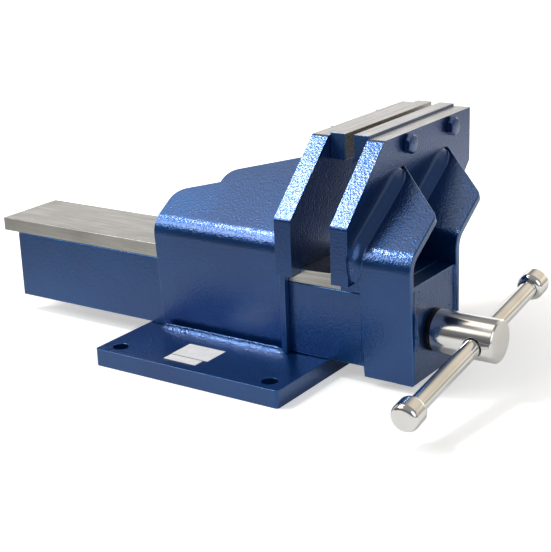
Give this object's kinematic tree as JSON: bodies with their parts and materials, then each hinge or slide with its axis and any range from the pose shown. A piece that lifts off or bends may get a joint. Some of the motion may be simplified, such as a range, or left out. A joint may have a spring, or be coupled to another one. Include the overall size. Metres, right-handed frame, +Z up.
{
  "type": "bench vise",
  "caption": "Welded-plate bench vise with offset jaws, a box slide, a large screw head and a sliding T-bar handle.",
  "frame": {"origin": "centre of the base plate's underside, on the bench's surface", "axes": "+X along the slide and the screw towards the handle, +Y towards the side the jaws are offset to, +Z up"},
  "size_m": [0.6531, 0.3839, 0.2531],
  "materials": {
    "blue_paint": "glossy hammered enamel",
    "bare_steel": "machined, unpainted",
    "chrome": "polished",
    "plain_steel": "turned, lightly oiled",
    "dark_steel": "blackened",
    "bronze": "machined",
    "label": "satin film, blank"
  },
  "bodies": {
    "body": {"base_plate": "blue_paint", "body_side_near": "blue_paint", "body_side_far": "blue_paint", "fixed_jaw_plate": "blue_paint", "fixed_jaw_insert": "bare_steel", "fixed_insert_bolt_1": "blue_paint", "fixed_insert_bolt_2": "blue_paint", "slide_keeper_plate": "blue_paint", "nut_block": "plain_steel", "screw_nut": "bronze", "nut_flange_screw_1": "dark_steel", "nut_flange_screw_2": "dark_steel", "nut_block_bolt_1": "dark_steel", "nut_block_bolt_2": "dark_steel", "blank_label_large": "label", "blank_label_small": "label"},
    "moving_jaw": {"slide_side_near": "blue_paint", "slide_side_far": "blue_paint", "wear_strip": "bare_steel", "moving_jaw_plate": "blue_paint", "moving_jaw_insert": "bare_steel", "moving_insert_bolt_1": "blue_paint", "moving_insert_bolt_2": "blue_paint", "cheek_near": "blue_paint", "cheek_far": "blue_paint", "front_plate": "blue_paint", "thrust_washer": "dark_steel", "rear_thrust_washer": "dark_steel"},
    "screw": {"lead_screw": "plain_steel", "screw_head": "chrome", "retaining_collar": "plain_steel", "collar_pin": "plain_steel"},
    "handle": {"handle_bar": "chrome", "handle_knob_near": "chrome", "handle_knob_far": "chrome"}
  },
  "joints": [
    {"name": "jaw_slide", "type": "slide", "parent": "body", "child": "moving_jaw", "axis": [1, 0, 0], "range_m": [-0.0106, 0.2391]},
    {"name": "screw_spin", "type": "hinge", "parent": "moving_jaw", "child": "screw", "pos_m": [0.2306, 0, 0.0583], "axis": [1, 0, 0], "range_deg": [-630, 14340]},
    {"name": "handle_slide", "type": "slide", "parent": "screw", "child": "handle", "axis": [0, 0.9881, 0.154], "range_m": [-0.0935, 0.12]}
  ],
  "couplings": [
    {"joint": "jaw_slide", "follows": "screw_spin", "m_per_rad": 0.00095493}
  ]
}
